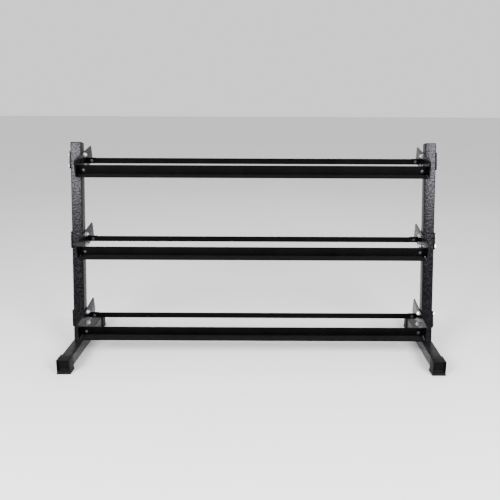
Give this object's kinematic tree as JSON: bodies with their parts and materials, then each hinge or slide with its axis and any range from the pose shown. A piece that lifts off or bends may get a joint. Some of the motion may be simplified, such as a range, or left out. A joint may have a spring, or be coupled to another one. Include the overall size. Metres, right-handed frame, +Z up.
{
  "type": "dumbbell rack",
  "caption": "Free-standing three-tier rack for dumbbells: two leaning square-tube uprights on rubber-booted feet, joined by pairs of steel angle rails on tilted end brackets.",
  "frame": {"origin": "on the floor, under the middle of the rack's bounding box", "axes": "+Z up, +X to the right as seen from the front, and -Y towards the person in front of the rack"},
  "size_m": [1.71, 0.6, 0.9641],
  "materials": {
    "powder_coat": "black hammered powder coat, semi-gloss",
    "rail_coat": "smooth satin black powder coat",
    "boot_rubber": "matte black moulded rubber",
    "cap_plastic": "black moulded plastic",
    "zinc_steel": "bright zinc-plated fasteners",
    "black_steel": "black oxide fasteners"
  },
  "bodies": {
    "root": {"left_foot_tube": "powder_coat", "left_front_boot": "boot_rubber", "left_rear_boot": "boot_rubber", "left_upright": "powder_coat", "left_top_cap": "cap_plastic", "left_bottom_backing_plate": "powder_coat", "left_bottom_lower_frame_bolt": "zinc_steel", "left_bottom_upper_frame_bolt": "zinc_steel", "left_middle_backing_plate": "powder_coat", "left_middle_lower_frame_bolt": "zinc_steel", "left_middle_upper_frame_bolt": "zinc_steel", "left_top_backing_plate": "powder_coat", "left_top_lower_frame_bolt": "zinc_steel", "left_top_upper_frame_bolt": "zinc_steel", "right_foot_tube": "powder_coat", "right_front_boot": "boot_rubber", "right_rear_boot": "boot_rubber", "right_upright": "powder_coat", "right_top_cap": "cap_plastic", "right_bottom_backing_plate": "powder_coat", "right_bottom_lower_frame_bolt": "zinc_steel", "right_bottom_upper_frame_bolt": "zinc_steel", "right_middle_backing_plate": "powder_coat", "right_middle_lower_frame_bolt": "zinc_steel", "right_middle_upper_frame_bolt": "zinc_steel", "right_top_backing_plate": "powder_coat", "right_top_lower_frame_bolt": "zinc_steel", "right_top_upper_frame_bolt": "zinc_steel", "bottom_front_rail": "rail_coat", "bottom_rear_rail": "rail_coat", "bottom_left_bracket": "powder_coat", "bottom_left_front_rail_bolt": "black_steel", "bottom_left_rear_rail_bolt": "black_steel", "bottom_right_bracket": "powder_coat", "bottom_right_front_rail_bolt": "black_steel", "bottom_right_rear_rail_bolt": "black_steel", "middle_front_rail": "rail_coat", "middle_rear_rail": "rail_coat", "middle_left_bracket": "powder_coat", "middle_left_front_rail_bolt": "black_steel", "middle_left_rear_rail_bolt": "black_steel", "middle_right_bracket": "powder_coat", "middle_right_front_rail_bolt": "black_steel", "middle_right_rear_rail_bolt": "black_steel", "top_front_rail": "rail_coat", "top_rear_rail": "rail_coat", "top_left_bracket": "powder_coat", "top_left_front_rail_bolt": "black_steel", "top_left_rear_rail_bolt": "black_steel", "top_right_bracket": "powder_coat", "top_right_front_rail_bolt": "black_steel", "top_right_rear_rail_bolt": "black_steel"}
  },
  "joints": []
}
